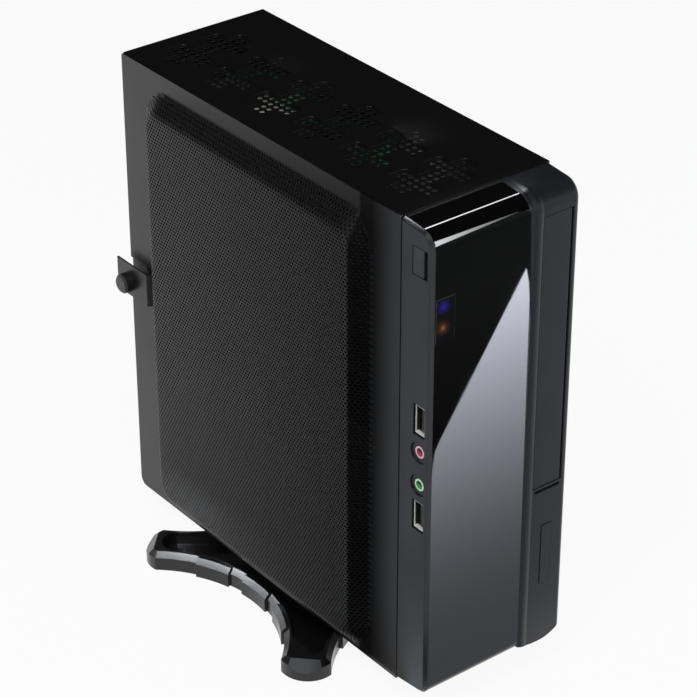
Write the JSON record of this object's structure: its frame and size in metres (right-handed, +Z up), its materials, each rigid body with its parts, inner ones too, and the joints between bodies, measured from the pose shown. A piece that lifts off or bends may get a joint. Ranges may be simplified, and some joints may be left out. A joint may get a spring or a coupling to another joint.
{
  "type": "pc case",
  "caption": "Slim upright computer case with a raised perforated side panel, gloss front strip, slim drive door, side ports and an X-shaped stand.",
  "frame": {"origin": "middle of the whole case's width and depth, on the desk under the stand's pads", "axes": "+X to the right seen from the front, +Y to the back, +Z up"},
  "size_m": [0.1276, 0.2144, 0.2356],
  "materials": {
    "shell_paint": "satin",
    "panel_paint": "satin",
    "chassis_paint": "satin",
    "screw_steel": "satin",
    "thumb_metal": "gloss",
    "spacer_brass": "satin",
    "bezel_plastic": "satin",
    "gloss_black": "gloss",
    "smoked_window": "gloss",
    "door_plastic": "satin",
    "button_plastic": "satin",
    "board_green": "satin",
    "port_metal": "gloss",
    "tongue_plastic": "satin",
    "mic_pink": "gloss",
    "headphone_green": "gloss",
    "led_blue": "gloss",
    "led_orange": "gloss",
    "socket_cream": "satin",
    "choke_grey": "satin",
    "stand_plastic": "gloss",
    "pad_rubber": "matte"
  },
  "bodies": {
    "case": {"outer_shell": "shell_paint", "side_panel": "panel_paint", "rear_panel": "chassis_paint", "front_plate": "chassis_paint", "board_tray": "chassis_paint", "bay_bracket": "chassis_paint", "disk_bracket": "chassis_paint", "bracket_screws": "screw_steel", "tray_screws": "screw_steel", "rear_screws": "screw_steel", "stand_screws": "screw_steel", "front_board_screws": "screw_steel", "power_board_screws": "screw_steel", "thumb_screw": "thumb_metal", "board_standoffs": "spacer_brass", "power_board_standoffs": "spacer_brass", "bezel_body": "bezel_plastic", "gloss_panel": "gloss_black", "led_window": "smoked_window", "front_board": "board_green", "power_board": "board_green", "usb_shell_upper": "port_metal", "usb_shell_lower": "port_metal", "dc_inlet": "port_metal", "inlet_nut": "port_metal", "usb_tongue_upper": "tongue_plastic", "usb_tongue_lower": "tongue_plastic", "power_switch": "tongue_plastic", "mic_jack": "mic_pink", "headphone_jack": "headphone_green", "power_led": "led_blue", "disk_led": "led_orange", "lead_sockets": "socket_cream", "power_socket": "socket_cream", "power_chokes": "choke_grey", "stand": "stand_plastic", "stand_pads": "pad_rubber"},
    "power_button": {"power_button": "button_plastic"},
    "eject_button": {"eject_button": "door_plastic"},
    "drive_door": {"drive_door": "door_plastic"}
  },
  "joints": [
    {"name": "power_press", "type": "slide", "parent": "case", "child": "power_button", "axis": [1, 0, 0], "range_m": [0, 0.0012], "stiffness_N_per_m": 400, "springref_m": -0.0005},
    {"name": "eject_press", "type": "slide", "parent": "case", "child": "eject_button", "axis": [0, 1, 0], "range_m": [0, 0.0015], "stiffness_N_per_m": 400, "springref_m": -0.0005},
    {"name": "door_hinge", "type": "hinge", "parent": "case", "child": "drive_door", "pos_m": [0.0333, -0.1056, 0.1601], "axis": [0, 0, 1], "range_deg": [0, 90], "stiffness_Nm_per_rad": 0.003, "springref_deg": -17.19}
  ]
}
